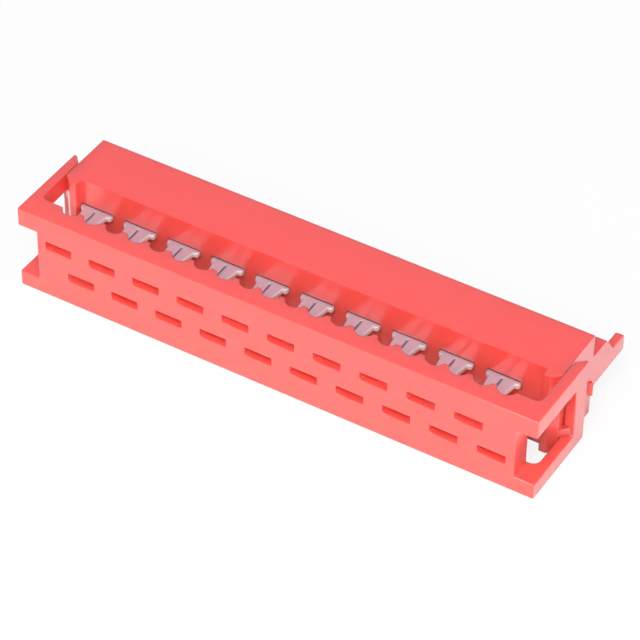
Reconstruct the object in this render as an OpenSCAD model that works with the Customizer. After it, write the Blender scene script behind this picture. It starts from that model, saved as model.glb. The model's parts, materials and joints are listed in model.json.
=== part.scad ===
// Ribbon-cable connector with insulation-displacement contacts, as it is supplied.
// A slotted cover stands open in front of the contact housing, and the ribbon goes into the
// gap between them. Pressing the cover home drives the wires onto the forked blades.
// The part lies on its long side. X runs along the row of wires, Y from the cover's front
// face towards the mating side, and Z up across the two contact rows.

/* [Ribbon] */
// Number of wires, one contact for each
positions = 20; // [4:2:40]
// Distance between neighbouring wires
wire_pitch = 1.27; // [1.2:0.01:1.6]
// Radius of a wire groove in the cover
groove_r = 0.52; // [0.45:0.01:0.58]
// Depth of a wire groove
groove_depth = 0.39; // [0.2:0.01:0.45]

/* [Body] */
// Height of cover and housing, across the two contact rows
body_h = 4.85; // [4.4:0.05:6]
// Distance between the two contact rows
row_gap = 1.48; // [1.3:0.02:1.8]
// Thickness of the cover
cover_t = 1.27; // [1.1:0.01:1.8]
// Gap between cover and housing that takes the ribbon
open_gap = 2.18; // [2:0.01:2.6]
// Depth of the housing from its front wall to its mating face
housing_d = 3.2; // [2.8:0.05:4.5]
// From the last wire to the end of the housing
end_margin = 1.735; // [1.5:0.005:2.5]
// Clearance of a contact blade in its cover slot, above and below
slot_play = 0.09; // [0.05:0.01:0.15]
// Clearance of a contact blade in its cover slot, on each side
slot_side_gap = 0.06; // [0.03:0.01:0.1]

/* [Guide posts] */
// How far a post stands proud of the housing's front wall
post_proud = 0.45; // [0.35:0.01:0.6]
// Gap between a post and the last contact
post_gap = 0.05; // [0.03:0.01:0.1]
// Bevel on a post's outer edge
post_bevel = 0.41; // [0.2:0.01:0.5]
// Gap left between cover and posts when the cover is home
closed_gap = 0.08; // [0.03:0.01:0.15]

/* [End frames] */
// Clearance between the housing's end and a frame
frame_gap = 0.04; // [0.03:0.01:0.1]
// Thickness of a frame
frame_t = 0.54; // [0.4:0.01:0.8]
// Height of a frame's lower rail
lower_rail = 0.88; // [0.7:0.01:1.1]
// Height of a frame's upper rail
upper_rail = 1.06; // [0.7:0.01:1.1]
// Depth of the bar that closes a frame at the back
frame_bar = 1.07; // [0.8:0.01:1.3]
// Length of the slant inside the bar, which leads it over the ramps
lead_in = 0.43; // [0.3:0.01:0.6]
// Thickness that the slant leaves at the bar's tip
tip_t = 0.16; // [0.1:0.01:0.2]
// How far the frames stay short of the mating face when the cover is home
flush_gap = 0.08; // [0.05:0.01:0.3]
// Fillet between the cover and a frame
frame_fillet = 0.4; // [0.2:0.01:0.6]
// Width of the cut-out at each end of the cover's front
notch_w = 1.09; // [0.9:0.01:1.2]

/* [Holding ramps] */
// Height of a ramp over the housing's end, and its length
ramp_rise = 0.41; // [0.3:0.01:0.5]
// Width of a ramp along the frame's height
ramp_w = 0.47; // [0.35:0.01:0.6]
// Clearance between a ramp and the frame's window
ramp_gap = 0.05; // [0.03:0.01:0.1]

/* [Polarising tab] */
// Length of the tab beyond the mating face
tab_reach = 3.3; // [3:0.05:4]
// Length of the tab's broad root
tab_root = 1.35; // [1.1:0.05:1.6]
// Height of the tab's lower edge over the surface that the part lies on
tab_low = 1.49; // [1.2:0.01:1.7]
// Height of the broad root
tab_root_h = 2; // [1.6:0.01:2.2]
// Length of the slope between root and tip
tab_slope = 0.8; // [0.5:0.05:0.9]
// Height of the tip
tab_tip_h = 0.92; // [0.6:0.01:1.2]
// Thickness of the root
tab_t = 0.6; // [0.5:0.01:0.8]
// Thickness of the tip
tab_tip_t = 0.43; // [0.35:0.01:0.5]
// Radius of the tip's corners, above and below
tab_corner = 0.12; // [0.05:0.01:0.2]
// Radius of the tip's inner corner
tab_inner_r = 0.17; // [0.05:0.01:0.17]

/* [Contacts] */
// Thickness of the contact's sheet metal
contact_t = 0.3; // [0.2:0.01:0.35]
// Width of a contact where it sits in the housing
contact_w = 1.81; // [1.7:0.01:1.9]
// Clearance between a contact and its cavity, on each side
contact_fit = 0.02; // [0.01:0.01:0.04]
// Clearance between a contact and its cavity, above and below
cavity_play = 0.08; // [0.02:0.01:0.12]
// Depth of the seat that stops a contact in its cavity
seat_depth = 1.75; // [1.2:0.05:2.2]
// How far the broad shoulder comes out of the housing
shoulder_proud = 0.24; // [0.15:0.01:0.3]
// Radius of the shoulder's corners
shoulder_r = 0.14; // [0.05:0.01:0.15]
// Width of the fork at its root
fork_w = 1.38; // [1.2:0.01:1.5]
// Width of the fork at its tips
fork_tip_w = 1; // [0.8:0.01:1.2]
// How far the fork stands out of the housing's front wall
fork_reach = 1.67; // [1.5:0.01:1.75]
// Length of the bevel outside each tip
tip_bevel = 0.25; // [0.15:0.01:0.35]
// Width of the slit that takes a wire's core
slit_w = 0.12; // [0.1:0.01:0.25]
// From the housing's front wall to the closed end of the slit
slit_stop = 0.17; // [0.1:0.01:0.3]
// Width of the slit's mouth between the tips
mouth_w = 0.44; // [0.3:0.01:0.6]
// Depth of the slit's mouth
mouth_depth = 0.3; // [0.2:0.01:0.4]
// Width of the tab on the mating side
tail_w = 0.7; // [0.5:0.01:1]
// Length of the tab beyond the mating face
tail_reach = 1.35; // [1:0.05:2]
// Bevel on the tab's end
tail_bevel = 0.18; // [0.1:0.01:0.3]

/* [Hidden] */
$fn = 48;
// Overlap that lets one shape run into another, and cuts run clear
over = 0.1;

// Along the wires
last_wire = (positions - 1) / 2 * wire_pitch;
housing_half = last_wire + end_margin;
frame_in = housing_half + frame_gap;
cover_half = frame_in + frame_t;
post_in = last_wire + contact_w / 2 + post_gap;

// From the cover's front face towards the mating side
housing_front = cover_t + open_gap;
housing_back = housing_front + housing_d;
post_front = housing_front - post_proud;
press_travel = open_gap - post_proud - closed_gap;
frame_back = housing_back - press_travel - flush_gap;
window_back = frame_back - frame_bar;
ramp_back = window_back - ramp_gap;
tab_end = housing_back + tab_reach;
depth = tab_end;

// Slots that the blades enter, and the height of a frame's window
slot_w = fork_w + 2 * slot_side_gap;
slot_h = contact_t + 2 * slot_play;
window_h = body_h - lower_rail - upper_rail;

RED = "#e8433f";
TIN = "#cfc4c6";

// Place of a wire along X, and height of its contact: the rows take turns
function wire_x(i) = (i - (positions - 1) / 2) * wire_pitch;
function row_z(i) = body_h / 2 + (i % 2 == 0 ? 1 : -1) * row_gap / 2;
function contact_name(i) = str("contact_", i < 9 ? "0" : "", i + 1);

// The origin is under the middle of the whole connector
module placed() {
    translate([0, -depth / 2, 0]) children();
}

module both_ends() {
    children();
    mirror([1, 0, 0]) children();
}

// Cover: a plate with wire grooves, and a frame on each end

module cover_plan() {
    difference() {
        union() {
            translate([-cover_half, 0]) square([2 * cover_half, cover_t]);
            both_ends() frame_plan();
        }
        for (i = [0 : positions - 1])
            translate([wire_x(i), cover_t - groove_depth + groove_r]) circle(groove_r);
    }
}

module frame_plan() {
    polygon([
        [frame_in, 0],
        [cover_half, 0],
        [cover_half, frame_back],
        [cover_half - tip_t, frame_back],
        [frame_in, frame_back - lead_in],
    ]);
    difference() {
        translate([frame_in - frame_fillet, cover_t - over])
            square([frame_fillet + over, frame_fillet + over]);
        translate([frame_in - frame_fillet, cover_t + frame_fillet]) circle(frame_fillet);
    }
}

// The cut-out in the cover's front runs on into the frame's window
module end_window() {
    translate([cover_half - notch_w, -over, lower_rail])
        cube([notch_w + over, window_back + over, window_h]);
}

module blade_slot() {
    translate([-slot_w / 2, -over, -slot_h / 2]) cube([slot_w, cover_t + 2 * over, slot_h]);
}

module cover() {
    color(RED) difference() {
        linear_extrude(body_h) cover_plan();
        both_ends() end_window();
        for (i = [0 : positions - 1]) translate([wire_x(i), 0, row_z(i)]) blade_slot();
    }
}

// Housing: a block with two guide posts, holding ramps and the polarising tab

module housing_plan() {
    translate([-housing_half, housing_front]) square([2 * housing_half, housing_d]);
    both_ends() polygon([
        [post_in, housing_front + over],
        [post_in, post_front],
        [housing_half - post_bevel, post_front],
        [housing_half, post_front + post_bevel],
        [housing_half, housing_front + over],
    ]);
}

module ramp_plan() {
    polygon([
        [housing_half - over, ramp_back - ramp_rise],
        [housing_half, ramp_back - ramp_rise],
        [housing_half + ramp_rise, ramp_back],
        [housing_half - over, ramp_back],
    ]);
}

// One ramp in each corner of the window, so that its bar stops both
module holding_ramps() {
    for (z = [lower_rail + ramp_gap, body_h - upper_rail - ramp_gap - ramp_w])
        translate([0, 0, z]) linear_extrude(ramp_w) ramp_plan();
}

// Side view of the tab, with Y to the right and Z up
module tab_side() {
    root_end = housing_back + tab_root;
    polygon([
        [housing_back - over, tab_low],
        [tab_end - tab_corner, tab_low],
        [tab_end - tab_corner, tab_low + tab_tip_h],
        [root_end + tab_slope, tab_low + tab_tip_h],
        [root_end, tab_low + tab_root_h],
        [housing_back - over, tab_low + tab_root_h],
    ]);
    for (z = [tab_low + tab_corner, tab_low + tab_tip_h - tab_corner])
        translate([tab_end - tab_corner, z]) circle(tab_corner);
    translate([tab_end - 2 * tab_corner, tab_low + tab_corner])
        square([2 * tab_corner, tab_tip_h - 2 * tab_corner]);
}

// Plan of the tab: its inner side tapers along the slope
module tab_plan() {
    slope_start = housing_back + tab_root;
    polygon([
        [housing_half, housing_back - over],
        [housing_half, tab_end],
        [housing_half - tab_tip_t + tab_inner_r, tab_end],
        [housing_half - tab_tip_t, tab_end - tab_inner_r],
        [housing_half - tab_tip_t, slope_start + tab_slope],
        [housing_half - tab_t, slope_start],
        [housing_half - tab_t, housing_back - over],
    ]);
    translate([housing_half - tab_tip_t + tab_inner_r, tab_end - tab_inner_r]) circle(tab_inner_r);
}

module polarising_tab() {
    intersection() {
        translate([housing_half - tab_t - over, 0, 0])
            rotate([90, 0, 90]) linear_extrude(tab_t + 2 * over) tab_side();
        linear_extrude(body_h) tab_plan();
    }
}

// A broad pocket up to the seat, then a narrow way through for the tail
module contact_cavity() {
    h = contact_t + 2 * cavity_play;
    broad = contact_w + 2 * contact_fit;
    narrow = tail_w + 2 * contact_fit;
    translate([-broad / 2, housing_front - over, -h / 2]) cube([broad, seat_depth + over, h]);
    translate([-narrow / 2, housing_front, -h / 2]) cube([narrow, housing_d + over, h]);
}

module housing() {
    color(RED) difference() {
        union() {
            linear_extrude(body_h) housing_plan();
            both_ends() holding_ramps();
            polarising_tab();
        }
        for (i = [0 : positions - 1]) translate([wire_x(i), 0, row_z(i)]) contact_cavity();
    }
}

// Contact: stamped from sheet, with a slit fork in front and a tail on the mating side

module contact_body() {
    front = housing_front - shoulder_proud;
    seat = housing_front + seat_depth;
    translate([-contact_w / 2, front + shoulder_r]) square([contact_w, seat - front - shoulder_r]);
    translate([-contact_w / 2 + shoulder_r, front])
        square([contact_w - 2 * shoulder_r, seat - front]);
    for (s = [-1, 1])
        translate([s * (contact_w / 2 - shoulder_r), front + shoulder_r]) circle(shoulder_r);
}

module contact_fork() {
    root = housing_front - shoulder_proud;
    tip = housing_front - fork_reach;
    point = (mouth_w + fork_tip_w) / 4;
    polygon([
        [-fork_w / 2, root + over],
        [-fork_w / 2, root],
        [-fork_tip_w / 2, tip + tip_bevel],
        [-point, tip],
        [point, tip],
        [fork_tip_w / 2, tip + tip_bevel],
        [fork_w / 2, root],
        [fork_w / 2, root + over],
    ]);
}

module contact_slit() {
    tip = housing_front - fork_reach;
    stop = housing_front - slit_stop - slit_w / 2;
    translate([0, stop]) circle(slit_w / 2);
    translate([-slit_w / 2, tip - over]) square([slit_w, stop - tip + over]);
    polygon([
        [-mouth_w / 2, tip - over],
        [-mouth_w / 2, tip],
        [-slit_w / 2, tip + mouth_depth],
        [slit_w / 2, tip + mouth_depth],
        [mouth_w / 2, tip],
        [mouth_w / 2, tip - over],
    ]);
}

module contact_tail() {
    seat = housing_front + seat_depth;
    tail_end = housing_back + tail_reach;
    polygon([
        [-tail_w / 2, seat - over],
        [-tail_w / 2, tail_end - tail_bevel],
        [-tail_w / 2 + tail_bevel, tail_end],
        [tail_w / 2 - tail_bevel, tail_end],
        [tail_w / 2, tail_end - tail_bevel],
        [tail_w / 2, seat - over],
    ]);
}

module contact(i) {
    color(TIN) translate([wire_x(i), 0, row_z(i) - contact_t / 2]) difference() {
        union() {
            linear_extrude(contact_t) contact_body();
            linear_extrude(contact_t) contact_fork();
            linear_extrude(contact_t) contact_tail();
        }
        linear_extrude(contact_t) contact_slit();
    }
}

placed() cover();
placed() housing();
for (i = [0 : positions - 1])
    placed() contact(i);
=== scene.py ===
"""A ribbon-cable connector in red plastic, with its slotted cover still standing open.

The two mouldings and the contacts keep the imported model's forms. They get the small edge radii
of moulded and stamped pieces here, and the housing gets the small hook at its tab's root.
All lengths are in metres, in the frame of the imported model.
"""

import json
import math

import bmesh
import bpy
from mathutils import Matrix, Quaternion, Vector

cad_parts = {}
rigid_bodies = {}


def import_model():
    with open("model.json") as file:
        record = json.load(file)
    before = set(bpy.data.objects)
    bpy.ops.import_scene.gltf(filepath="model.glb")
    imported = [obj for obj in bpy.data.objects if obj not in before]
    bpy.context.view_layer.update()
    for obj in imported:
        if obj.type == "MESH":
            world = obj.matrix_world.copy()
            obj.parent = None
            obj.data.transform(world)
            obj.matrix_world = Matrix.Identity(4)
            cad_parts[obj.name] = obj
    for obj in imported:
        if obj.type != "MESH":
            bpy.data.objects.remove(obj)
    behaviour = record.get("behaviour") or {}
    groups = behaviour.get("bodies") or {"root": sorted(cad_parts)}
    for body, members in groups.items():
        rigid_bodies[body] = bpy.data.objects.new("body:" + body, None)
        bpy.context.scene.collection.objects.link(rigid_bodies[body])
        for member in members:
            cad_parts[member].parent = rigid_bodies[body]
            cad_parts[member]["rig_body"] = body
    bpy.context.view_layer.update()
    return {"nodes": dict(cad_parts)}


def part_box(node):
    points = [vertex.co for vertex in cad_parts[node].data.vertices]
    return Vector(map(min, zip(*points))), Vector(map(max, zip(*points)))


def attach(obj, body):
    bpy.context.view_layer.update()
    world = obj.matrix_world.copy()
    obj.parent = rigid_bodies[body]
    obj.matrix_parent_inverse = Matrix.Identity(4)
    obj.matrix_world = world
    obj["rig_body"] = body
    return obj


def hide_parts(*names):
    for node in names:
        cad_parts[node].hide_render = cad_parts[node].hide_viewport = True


MM = 0.001

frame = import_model()
housing_low, housing_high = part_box("housing")
cover_low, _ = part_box("cover")
CONTACTS = sorted(node for node in frame["nodes"] if node.startswith("contact_"))

# Edge radii, and how sharp an edge has to be to get one
COVER_EDGE = 0.055 * MM
HOUSING_EDGE = 0.03 * MM
STAMP_EDGE = 0.06 * MM
SLIT_EDGE = 0.03 * MM
EDGE_STEPS = 3
MOULD_SHARP_DEG = 30
STAMP_SHARP_DEG = 40

# Slack for merging a copy's triangles into faces, and for telling where an edge lies
MERGE = 0.001 * MM
FLAT_DEG = 0.5
NEAR = 0.005 * MM

# The housing: its wall behind the posts, its ends inside the holding ramps, and its cavities
POST_DEPTH = 0.45 * MM
HOUSING_DEPTH = 3.20 * MM
RAMP_RISE = 0.41 * MM
CAVITY_ROOM = 0.08 * MM
BODY_LOW = housing_low.z
BODY_HIGH = housing_high.z
WALL_FRONT = housing_low.y + POST_DEPTH
CAVITY_BACK = WALL_FRONT + HOUSING_DEPTH
CAVITY_REACH = max(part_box(node)[1].x for node in CONTACTS) + CAVITY_ROOM
HOUSING_END = housing_high.x - RAMP_RISE
RAMP_ROOT = HOUSING_END - 0.1 * MM
RAMP_FRONT = -1.75 * MM
RAMP_BACK = -1.15 * MM

# The cover: the lands between its wire grooves, and the gap from its frames to the housing
COVER_DEPTH = 1.27 * MM
RIDGE = cover_low.y + COVER_DEPTH
GROOVE_REACH = 13.0 * MM
FRAME_GAP = 0.04 * MM

# The hook on the housing's end: it rises steeply at HOOK_STOP and runs out at HOOK_FOOT
HOOK_LOW = 1.28 * MM
HOOK_HIGH = 2.04 * MM
HOOK_STOP = 1.36 * MM
HOOK_FOOT = 1.63 * MM
HOOK_RISE = 0.20 * MM
HOOK_LEAN = 0.10 * MM
HOOK_CUT = 0.0001 * MM
HOOK_MERGE = 0.0005 * MM

# The contacts: half the width around the slit, and how upright a sheared flank stands
SLIT_REACH = 0.23 * MM
FLANK_TILT = 0.4

# Finishes: each colour, and the one that it drifts to over the surface
RED = (0.94, 0.117, 0.097)
RED_DRIFT = (0.92, 0.108, 0.089)
TIN_GREY = (0.66, 0.61, 0.69)
TIN_DRIFT = (0.60, 0.55, 0.63)
SHEARED_GREY = (0.80, 0.68, 0.62)
SHEARED_DRIFT = (0.74, 0.61, 0.53)

# The painted shade on a contact inside its cavity, reddened as a painted reflection of the dark red
# walls, and the length over which it sets in
PAINTED_SHADE_COLOUR = (0.36, 0.10, 0.10)
PAINTED_SHADE_EDGE = 0.02 * MM

# Camera, as the photograph was taken
PICTURE = 640
CAMERA_PLACE = Vector((61.946, -104.597, 108.268)) * MM
CAMERA_FORWARD = Vector((-0.38213, 0.64369, -0.66306))
CAMERA_ROLL_DEG = 0.84
FOCAL_PIXELS = 3336.23
SENSOR = 36.0
CLIP_NEAR = 0.01
CLIP_FAR = 10

# The floor, and how much of it is plain white to the eye and in gloss: the rest keeps its shadows
FLOOR_RADIUS = 1.5
FLOOR_SIDES = 96
FLOOR_PALE = (0.83, 0.83, 0.83, 1)
FLOOR_SEEN = 0.84
FLOOR_MIRRORED = 0.1

# The studio's walls, by the direction that is looked in: pale up to HORIZON and dim from DIM_FROM up,
# where they are grey in front, as far as FRONT_TO, and bluish behind, past BACK_FROM
HORIZON = 0.05
DIM_FROM = 0.35
FRONT_TO = -0.8
BACK_FROM = 0.5
LOW_WALL = (0.46, 0.42, 0.37, 1)
FRONT_WALL = (0.20, 0.20, 0.20, 1)
BACK_WALL = (0.28, 0.30, 0.42, 1)

# The Mix node has sockets for every kind of value: these are the ones for colours
MIX_SOCKETS = (0, 6, 7)
MIX_RESULT = 2


def link(name, data):
    """Puts a mesh, a lamp or a camera into the scene as an object."""
    obj = bpy.data.objects.new(name, data)
    bpy.context.scene.collection.objects.link(obj)
    return obj


# Node helpers

def new_group(name, inputs, outputs):
    """A shader node group with its sockets, and the two nodes that carry them."""
    group = bpy.data.node_groups.new(name, "ShaderNodeTree")
    for socket, kind in inputs:
        group.interface.new_socket(socket, in_out="INPUT", socket_type=kind)
    for socket, kind in outputs:
        group.interface.new_socket(socket, in_out="OUTPUT", socket_type=kind)
    entry = group.nodes.new("NodeGroupInput")
    leave = group.nodes.new("NodeGroupOutput")
    return group, entry, leave


def add(tree, kind, **settings):
    node = tree.nodes.new(kind)
    for key, value in settings.items():
        setattr(node, key, value)
    return node


def feed(tree, socket, value):
    """Links a socket to another node's output, or sets it to a plain value."""
    if isinstance(value, bpy.types.NodeSocket):
        tree.links.new(value, socket)
    else:
        socket.default_value = value


def noise(tree, place, scale):
    """Noise whose place and scale come from other nodes."""
    node = add(tree, "ShaderNodeTexNoise")
    tree.links.new(place, node.inputs["Vector"])
    tree.links.new(scale, node.inputs["Scale"])
    return node.outputs["Fac"]


def math_node(tree, operation, a, b):
    node = add(tree, "ShaderNodeMath", operation=operation)
    feed(tree, node.inputs[0], a)
    feed(tree, node.inputs[1], b)
    return node.outputs[0]


def mix_colour(tree, factor, a, b):
    node = add(tree, "ShaderNodeMix", data_type="RGBA")
    for socket, value in zip(MIX_SOCKETS, (factor, a, b)):
        feed(tree, node.inputs[socket], value)
    return node.outputs[MIX_RESULT]


def map_range(tree, value, low, high):
    """Nought at low and one at high, smooth between them."""
    node = add(tree, "ShaderNodeMapRange", interpolation_type="SMOOTHSTEP")
    node.inputs["From Min"].default_value = low
    node.inputs["From Max"].default_value = high
    tree.links.new(value, node.inputs["Value"])
    return node.outputs[0]


def surface_grain_group():
    """Slow drift of colour and gloss over a surface, with a fine grain for the bump."""
    group, entry, leave = new_group(
        "surface_grain",
        [
            ("Colour", "NodeSocketColor"),
            ("Drift Colour", "NodeSocketColor"),
            ("Drift Scale", "NodeSocketFloat"),
            ("Grain Scale", "NodeSocketFloat"),
            ("Roughness Low", "NodeSocketFloat"),
            ("Roughness High", "NodeSocketFloat"),
        ],
        [("Colour", "NodeSocketColor"), ("Roughness", "NodeSocketFloat"), ("Height", "NodeSocketFloat")],
    )
    place = add(group, "ShaderNodeTexCoord").outputs["Object"]
    drift = noise(group, place, entry.outputs["Drift Scale"])
    grain = noise(group, place, entry.outputs["Grain Scale"])
    colour = mix_colour(group, drift, entry.outputs["Colour"], entry.outputs["Drift Colour"])
    low = entry.outputs["Roughness Low"]
    high = entry.outputs["Roughness High"]
    step = math_node(group, "MULTIPLY", math_node(group, "SUBTRACT", high, low), drift)
    rough = math_node(group, "ADD", low, step)
    group.links.new(colour, leave.inputs["Colour"])
    group.links.new(rough, leave.inputs["Roughness"])
    group.links.new(grain, leave.inputs["Height"])
    return group


def painted_cavity_shade_group():
    """The mask of the painted cavity shade: one where a contact lies inside the housing, and nought on
    its fork and tail.
    """
    group, _, leave = new_group("painted_cavity_shade", [], [("Inside", "NodeSocketFloat")])
    split = add(group, "ShaderNodeSeparateXYZ")
    group.links.new(add(group, "ShaderNodeTexCoord").outputs["Object"], split.inputs[0])
    depth = split.outputs["Y"]
    past_front = map_range(group, depth, WALL_FRONT - PAINTED_SHADE_EDGE / 2, WALL_FRONT + PAINTED_SHADE_EDGE)
    past_back = map_range(group, depth, CAVITY_BACK - PAINTED_SHADE_EDGE, CAVITY_BACK)
    group.links.new(math_node(group, "SUBTRACT", past_front, past_back), leave.inputs["Inside"])
    return group


SURFACE_GRAIN = surface_grain_group()
PAINTED_CAVITY_SHADE = painted_cavity_shade_group()


def grained(name, colour, drift_colour, drift_scale, grain_scale, rough, bump, metallic, ior):
    """A material whose colour, gloss and bump come from the surface_grain group."""
    made = bpy.data.materials.new(name)
    made.use_nodes = True
    made.diffuse_color = (*colour, 1)
    tree = made.node_tree
    shader = tree.nodes["Principled BSDF"]
    shader.inputs["Metallic"].default_value = metallic
    shader.inputs["IOR"].default_value = ior
    grain = add(tree, "ShaderNodeGroup", node_tree=SURFACE_GRAIN)
    grain.inputs["Colour"].default_value = (*colour, 1)
    grain.inputs["Drift Colour"].default_value = (*drift_colour, 1)
    grain.inputs["Drift Scale"].default_value = drift_scale
    grain.inputs["Grain Scale"].default_value = grain_scale
    grain.inputs["Roughness Low"].default_value = rough[0]
    grain.inputs["Roughness High"].default_value = rough[1]
    relief = add(tree, "ShaderNodeBump")
    relief.inputs["Distance"].default_value = bump
    tree.links.new(grain.outputs["Height"], relief.inputs["Height"])
    tree.links.new(grain.outputs["Colour"], shader.inputs["Base Color"])
    tree.links.new(grain.outputs["Roughness"], shader.inputs["Roughness"])
    tree.links.new(relief.outputs["Normal"], shader.inputs["Normal"])
    return made


def red_plastic(name, rough):
    """Glossy moulded plastic that lets light a little way in, so that its recesses glow red."""
    made = grained(
        name, RED, RED_DRIFT, drift_scale=180.0, grain_scale=6000.0, rough=rough, bump=0.0002 * MM,
        metallic=0.0, ior=1.55,
    )
    shader = made.node_tree.nodes["Principled BSDF"]
    shader.inputs["Subsurface Weight"].default_value = 0.8
    shader.inputs["Subsurface Radius"].default_value = (1.0, 0.12, 0.105)
    shader.inputs["Subsurface Scale"].default_value = 1.2 * MM
    shader.inputs["Coat Weight"].default_value = 0.92
    shader.inputs["Coat Roughness"].default_value = 0.2
    shader.inputs["Coat IOR"].default_value = 1.5
    return made


def paint_cavity_shade(made):
    """Paints shade into a contact's metal inside its cavity, reddened as a painted reflection of the
    dark red walls.
    """
    tree = made.node_tree
    base = tree.nodes["Principled BSDF"].inputs["Base Color"]
    plain = base.links[0].from_socket
    inside = add(tree, "ShaderNodeGroup", node_tree=PAINTED_CAVITY_SHADE).outputs["Inside"]
    tree.links.new(mix_colour(tree, inside, plain, (*PAINTED_SHADE_COLOUR, 1)), base)


COVER_RED = red_plastic("red_cover_plastic", rough=(0.20, 0.26))
HOUSING_RED = red_plastic("red_housing_plastic", rough=(0.18, 0.25))
TIN = grained(
    "tin_plate", TIN_GREY, TIN_DRIFT, drift_scale=900.0, grain_scale=16000.0, rough=(0.46, 0.58),
    bump=0.0004 * MM, metallic=0.6, ior=1.5,
)
SHEARED = grained(
    "sheared_edge", SHEARED_GREY, SHEARED_DRIFT, drift_scale=1500.0, grain_scale=20000.0,
    rough=(0.50, 0.62), bump=0.0006 * MM, metallic=0.2, ior=1.5,
)
# Painted shade and painted reflection inside the cavities, on both of the contacts' metal finishes
paint_cavity_shade(TIN)
paint_cavity_shade(SHEARED)


# Meshes

def solid_copy(node):
    """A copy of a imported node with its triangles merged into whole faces."""
    bm = bmesh.new()
    bm.from_mesh(frame["nodes"][node].data)
    bmesh.ops.remove_doubles(bm, verts=bm.verts, dist=MERGE)
    bmesh.ops.dissolve_limit(bm, angle_limit=math.radians(FLAT_DEG), verts=bm.verts, edges=bm.edges)
    for f in bm.faces:
        f.material_index = 0
    return bm


def round_edges(bm, radius, sharp_deg, crisp):
    """Rounds the sharp edges that no test in crisp picks out, and keeps the broad faces flat."""
    limit = math.radians(sharp_deg)
    sharp = [e for e in bm.edges if e.calc_face_angle() > limit]
    for e in sharp:
        e.smooth = False
    soft = [e for e in sharp if not any(test(e) for test in crisp)]
    rounded = bmesh.ops.bevel(
        bm, geom=soft, offset=radius, affect="EDGES", segments=EDGE_STEPS, profile=0.5, material=-1,
        clamp_overlap=False,
    )
    strips = set(rounded["faces"])
    for f in strips:
        for e in f.edges:
            if not strips.issuperset(e.link_faces):
                e.smooth = False
    broad = [f for f in bm.faces if len(f.verts) > 4]
    bmesh.ops.triangulate(bm, faces=broad, quad_method="BEAUTY", ngon_method="BEAUTY")


def piece_from(bm, name, node, materials):
    """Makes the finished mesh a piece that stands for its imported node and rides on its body."""
    mesh = bpy.data.meshes.new(name)
    bm.to_mesh(mesh)
    bm.free()
    for made in materials:
        mesh.materials.append(made)
    mesh.shade_smooth()
    piece = link(name, mesh)
    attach(piece, frame["nodes"][node]["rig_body"])
    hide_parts(node)


def is_cavity_edge(edge):
    """True on the housing's contact cavities and on the edges of its wall, which are crisp."""
    if any(abs(v.co.x) > CAVITY_REACH or v.co.y < WALL_FRONT - NEAR for v in edge.verts):
        return False
    along_wall = all(v.co.y < WALL_FRONT + NEAR for v in edge.verts)
    along_top = all(v.co.z > BODY_HIGH - NEAR for v in edge.verts)
    along_bottom = all(v.co.z < BODY_LOW + NEAR for v in edge.verts)
    return along_wall or not (along_top or along_bottom)


def is_gap_edge(edge):
    """True along the narrow gap between a frame and the housing's end, above and below."""
    a, b = (v.co for v in edge.verts)
    beside = all(abs(abs(v.x) - HOUSING_END) < FRAME_GAP + NEAR for v in (a, b))
    level = abs(a.z - b.z) < NEAR and (a.z > BODY_HIGH - NEAR or a.z < BODY_LOW + NEAR)
    return beside and level and abs(a.y - b.y) > FRAME_GAP


def is_ridge_edge(edge):
    """True along the narrow lands between the cover's wire grooves."""
    a, b = (v.co for v in edge.verts)
    inside = all(abs(v.x) < GROOVE_REACH and v.y > RIDGE - NEAR for v in (a, b))
    return inside and abs(a.z - b.z) > NEAR


def is_ramp_edge(edge):
    """True on the holding ramps, which are too fine for a radius."""
    return all(abs(v.co.x) > RAMP_ROOT and RAMP_FRONT < v.co.y < RAMP_BACK for v in edge.verts)


def is_hook_edge(edge):
    """True on the small hook, which is too fine for the other edges' radius."""
    return all(
        v.co.x > HOUSING_END - NEAR and HOOK_STOP - NEAR < v.co.y < HOOK_FOOT + NEAR
        and HOOK_LOW - NEAR < v.co.z < HOOK_HIGH + NEAR for v in edge.verts
    )


def end_face_at(bm, point):
    """The face in the plane of the housing's end that the point lies in."""
    for f in bm.faces:
        in_plane = all(abs(v.co.x - HOUSING_END) < NEAR for v in f.verts)
        if in_plane and bmesh.geometry.intersect_face_point(f, point):
            return f


def add_hook(bm):
    """A low hook at the root of the polarising tab, steep towards the cover."""
    middle = Vector((HOUSING_END, (HOOK_FOOT + HOOK_STOP) / 2, (HOOK_LOW + HOOK_HIGH) / 2))
    up = Vector((0, 0, 1))
    along = Vector((0, 1, 0))
    for place, normal in ((HOOK_STOP, along), (HOOK_FOOT, along), (HOOK_LOW, up), (HOOK_HIGH, up)):
        face = end_face_at(bm, middle)
        bmesh.ops.bisect_plane(
            bm, geom=[face, *face.edges, *face.verts], dist=HOOK_CUT, plane_co=normal * place,
            plane_no=normal,
        )
    patch = end_face_at(bm, middle)
    risen = bmesh.ops.extrude_face_region(bm, geom=[patch])
    top = [v for v in risen["geom"] if isinstance(v, bmesh.types.BMVert)]
    bmesh.ops.delete(bm, geom=[patch], context="FACES_ONLY")
    front = [v for v in top if v.co.y < middle.y]
    bmesh.ops.translate(bm, verts=front, vec=(HOOK_RISE, HOOK_LEAN, 0))
    bmesh.ops.remove_doubles(bm, verts=bm.verts, dist=HOOK_MERGE)


def make_cover():
    bm = solid_copy("cover")
    round_edges(bm, COVER_EDGE, MOULD_SHARP_DEG, crisp=(is_gap_edge, is_ridge_edge))
    piece_from(bm, "cover_moulding", "cover", [COVER_RED])


def make_housing():
    bm = solid_copy("housing")
    add_hook(bm)
    crisp = (is_gap_edge, is_cavity_edge, is_hook_edge, is_ramp_edge)
    round_edges(bm, HOUSING_EDGE, MOULD_SHARP_DEG, crisp)
    piece_from(bm, "housing_moulding", "housing", [HOUSING_RED])


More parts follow.
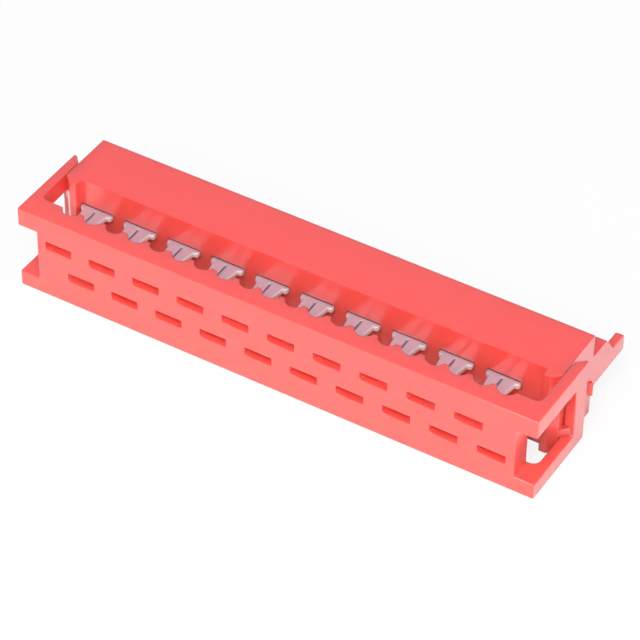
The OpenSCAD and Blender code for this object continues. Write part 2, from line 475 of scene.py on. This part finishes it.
def make_contact(node):
    """A stamped blade in tin, with the bare metal of its cut on the outer flanks."""
    bm = solid_copy(node)
    low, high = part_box(node)
    middle = (low.x + high.x) / 2

    def in_slit(element):
        return all(abs(v.co.x - middle) < SLIT_REACH for v in element.verts)

    def beside_slit(element):
        return not in_slit(element)

    round_edges(bm, STAMP_EDGE, STAMP_SHARP_DEG, crisp=(in_slit,))
    round_edges(bm, SLIT_EDGE, STAMP_SHARP_DEG, crisp=(beside_slit,))
    finishes = [TIN, SHEARED]
    bm.normal_update()
    for f in bm.faces:
        if abs(f.normal.z) < FLANK_TILT and beside_slit(f):
            f.material_index = finishes.index(SHEARED)
    piece_from(bm, node + "_blade", node, finishes)


make_cover()
make_housing()
for contact in CONTACTS:
    make_contact(contact)


# Floor, light and camera

def make_floor():
    """A pale round floor that reads as white and keeps the object's soft shadow."""
    bm = bmesh.new()
    bmesh.ops.create_circle(bm, cap_ends=True, segments=FLOOR_SIDES, radius=FLOOR_RADIUS)
    mesh = bpy.data.meshes.new("floor")
    bm.to_mesh(mesh)
    bm.free()
    floor = link("floor", mesh)
    made = bpy.data.materials.new("pale_floor")
    made.use_nodes = True
    tree = made.node_tree
    tree.nodes.remove(tree.nodes["Principled BSDF"])
    matt = add(tree, "ShaderNodeBsdfDiffuse")
    matt.inputs["Color"].default_value = FLOOR_PALE
    white = add(tree, "ShaderNodeEmission")
    path = add(tree, "ShaderNodeLightPath")
    seen = math_node(tree, "MULTIPLY", path.outputs["Is Camera Ray"], FLOOR_SEEN)
    mirrored = math_node(tree, "MULTIPLY", path.outputs["Is Glossy Ray"], FLOOR_MIRRORED)
    mix = add(tree, "ShaderNodeMixShader")
    tree.links.new(math_node(tree, "MAXIMUM", seen, mirrored), mix.inputs[0])
    tree.links.new(matt.outputs[0], mix.inputs[1])
    tree.links.new(white.outputs[0], mix.inputs[2])
    tree.links.new(mix.outputs[0], tree.nodes["Material Output"].inputs["Surface"])
    mesh.materials.append(made)


def make_world():
    """The dim studio around the floor, which the plastic and the tin mirror."""
    world = bpy.data.worlds.new("studio")
    bpy.context.scene.world = world
    world.use_nodes = True
    tree = world.node_tree
    tree.nodes.remove(tree.nodes["Background"])
    split = add(tree, "ShaderNodeSeparateXYZ")
    tree.links.new(add(tree, "ShaderNodeTexCoord").outputs["Generated"], split.inputs[0])
    behind = map_range(tree, split.outputs["Y"], FRONT_TO, BACK_FROM)
    height = map_range(tree, split.outputs["Z"], HORIZON, DIM_FROM)
    upper = mix_colour(tree, behind, FRONT_WALL, BACK_WALL)
    walls = add(tree, "ShaderNodeBackground")
    tree.links.new(mix_colour(tree, height, LOW_WALL, upper), walls.inputs["Color"])
    tree.links.new(walls.outputs[0], tree.nodes["World Output"].inputs["Surface"])


def softbox(name, place, size, watts, colour):
    """A round lamp that faces the object."""
    data = bpy.data.lights.new(name, "AREA")
    data.shape = "DISK"
    data.size = size
    data.energy = watts
    data.color = colour
    lamp = link(name, data)
    lamp.location = place
    lamp.rotation_mode = "QUATERNION"
    lamp.rotation_quaternion = (-Vector(place)).to_track_quat("-Z", "Y")


def make_camera():
    data = bpy.data.cameras.new("camera")
    data.sensor_width = SENSOR
    data.lens = FOCAL_PIXELS / PICTURE * SENSOR
    data.clip_start = CLIP_NEAR
    data.clip_end = CLIP_FAR
    camera = link("camera", data)
    camera.location = CAMERA_PLACE
    camera.rotation_mode = "QUATERNION"
    turn = CAMERA_FORWARD.to_track_quat("-Z", "Y")
    camera.rotation_quaternion = turn @ Quaternion((0, 0, 1), math.radians(CAMERA_ROLL_DEG))
    bpy.context.scene.camera = camera


make_floor()
make_world()
softbox("key_front", (0.085, -0.275, 0.445), size=0.30, watts=2.08, colour=(1.0, 1.0, 0.99))
softbox("beside_camera", (0.19, -0.32, 0.33), size=0.25, watts=0.58, colour=(1.0, 1.0, 1.0))
softbox("front_low", (0.07, -0.40, 0.25), size=0.25, watts=0.46, colour=(1.0, 1.0, 1.0))
softbox("overhead", (-0.05, 0.05, 0.45), size=0.50, watts=0.10, colour=(0.97, 0.98, 1.0))
softbox("side_right", (0.48, -0.08, 0.10), size=0.25, watts=0.44, colour=(1.0, 0.91, 0.81))
make_camera()
bpy.context.scene.view_settings.view_transform = "Standard"
